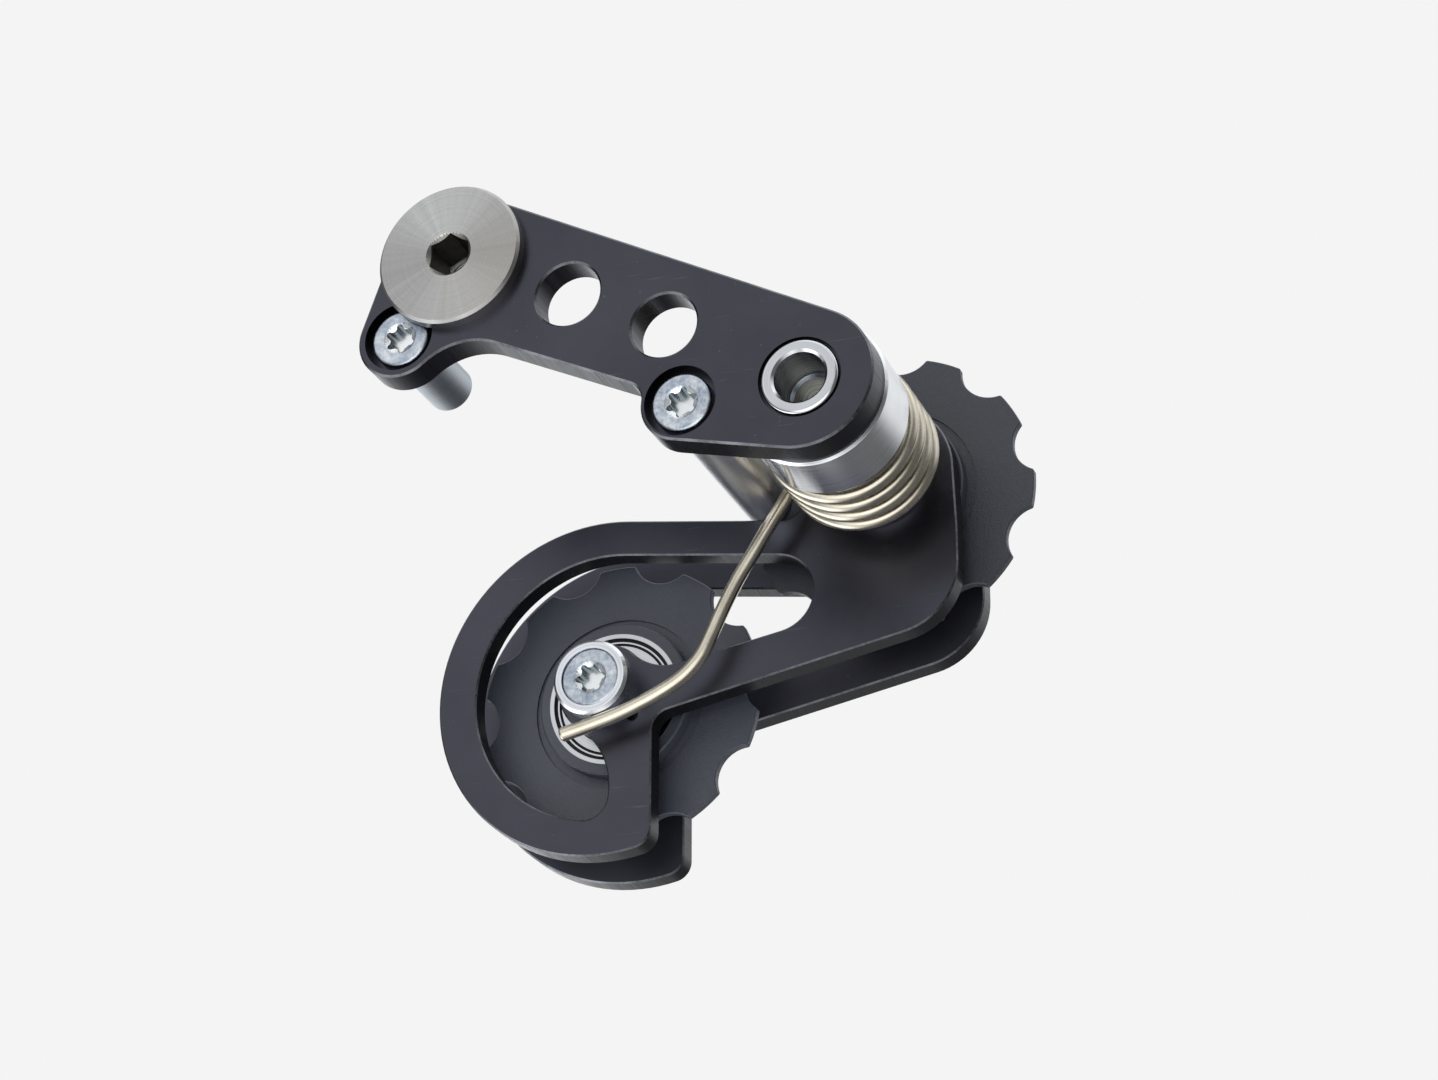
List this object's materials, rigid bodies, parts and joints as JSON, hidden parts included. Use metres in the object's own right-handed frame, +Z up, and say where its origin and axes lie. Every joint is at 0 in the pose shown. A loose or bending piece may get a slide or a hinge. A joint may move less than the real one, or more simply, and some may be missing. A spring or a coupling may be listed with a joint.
{
  "type": "bicycle chain tensioner",
  "caption": "Sprung chain tensioner for a bicycle hanger: black mounting plate, coil spring on a pivot, and a cage of black plates with toothed pulleys.",
  "frame": {"origin": "mounting bolt's axis at the mounting plate's back face, where it meets the hanger", "axes": "+X forward along the bicycle, +Y inboard along the bolt into the hanger, +Z up, as mounted"},
  "size_m": [0.0766, 0.0494, 0.0777],
  "materials": {
    "black_anodised": "satin black anodised, bright edges",
    "turned_steel": "fine turned",
    "zinc_plated_steel": "bright zinc, slightly mottled",
    "bright_steel": "polished",
    "turned_aluminium": "turned, silver",
    "spring_steel": "olive-bronze, semi-gloss",
    "black_plastic": "moulded, fine grain",
    "nylon": "plain"
  },
  "bodies": {
    "base": {"mounting_plate": "black_anodised", "mounting_bolt": "turned_steel", "short_pin": "turned_steel", "long_pin": "turned_steel", "short_pin_screw": "zinc_plated_steel", "long_pin_screw": "zinc_plated_steel", "pivot_ferrule": "bright_steel", "pivot_body": "turned_aluminium", "thrust_washer": "nylon", "end_washer": "turned_steel", "end_screw": "zinc_plated_steel", "torsion_spring": "spring_steel"},
    "cage": {"cage_front_plate": "black_anodised", "cage_rear_plate": "black_anodised", "upper_tube": "turned_steel", "lower_tube": "turned_steel", "upper_ring_front": "turned_steel", "upper_ring_rear": "turned_steel", "lower_ring_front": "turned_steel", "lower_ring_rear": "turned_steel", "lower_sleeve": "turned_steel", "lower_screw": "zinc_plated_steel", "rear_nut": "turned_steel", "upper_bearing_inner": "bright_steel", "lower_bearing_inner": "bright_steel"},
    "upper_wheel": {"upper_pulley": "black_plastic", "upper_bearing_outer": "bright_steel", "upper_bearing_balls": "bright_steel", "upper_shield_front": "bright_steel", "upper_shield_rear": "bright_steel"},
    "lower_wheel": {"lower_pulley": "black_plastic", "lower_bearing_outer": "bright_steel", "lower_bearing_balls": "bright_steel", "lower_shield_front": "bright_steel", "lower_shield_rear": "bright_steel"}
  },
  "joints": [
    {"name": "cage_pivot", "type": "hinge", "parent": "base", "child": "cage", "pos_m": [0.0445, 0.0316, -0.0235], "axis": [0, -1, 0], "range_deg": [0, 110], "stiffness_Nm_per_rad": 0.42, "springref_deg": -57.3, "deforming": ["torsion_spring"]},
    {"name": "upper_pulley_spin", "type": "hinge", "parent": "cage", "child": "upper_wheel", "pos_m": [0.0445, 0.0316, -0.0235], "axis": [0, -1, 0], "continuous": true},
    {"name": "lower_pulley_spin", "type": "hinge", "parent": "cage", "child": "lower_wheel", "pos_m": [0.0085, 0.0316, -0.04675], "axis": [0, -1, 0], "continuous": true}
  ]
}
